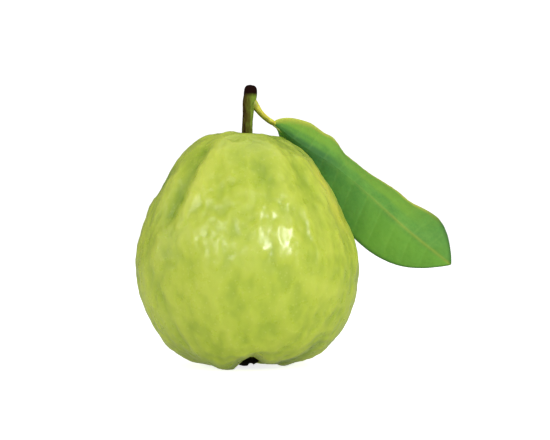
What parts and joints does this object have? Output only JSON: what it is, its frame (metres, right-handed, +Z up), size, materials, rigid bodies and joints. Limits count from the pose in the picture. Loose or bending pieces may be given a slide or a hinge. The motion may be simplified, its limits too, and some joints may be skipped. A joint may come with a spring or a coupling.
{
  "type": "guava fruit",
  "caption": "Whole pear-shaped guava standing on its lobed blossom end, with dried calyx, cut woody stem and a single drooping leaf on a curved stalk.",
  "frame": {"origin": "on the surface that the fruit stands on, under the middle of the bounding box of the whole object", "axes": "+Z up along the fruit's core, towards the stem; +X towards the leaf tip; -Y is the front, from which the calyx shows between two lobes"},
  "size_m": [0.1286, 0.0884, 0.111],
  "materials": {
    "skin": "waxy yellow-green fruit skin",
    "dry_sepal": "dry, near-black brown",
    "bark": "matt green-brown twig bark",
    "green_stalk": "satin yellow-green stalk",
    "leaf": "satin green leaf"
  },
  "bodies": {
    "root": {"fruit": "skin", "calyx": "dry_sepal", "stem": "bark", "leaf_stalk": "green_stalk", "leaf_blade": "leaf"}
  },
  "joints": []
}
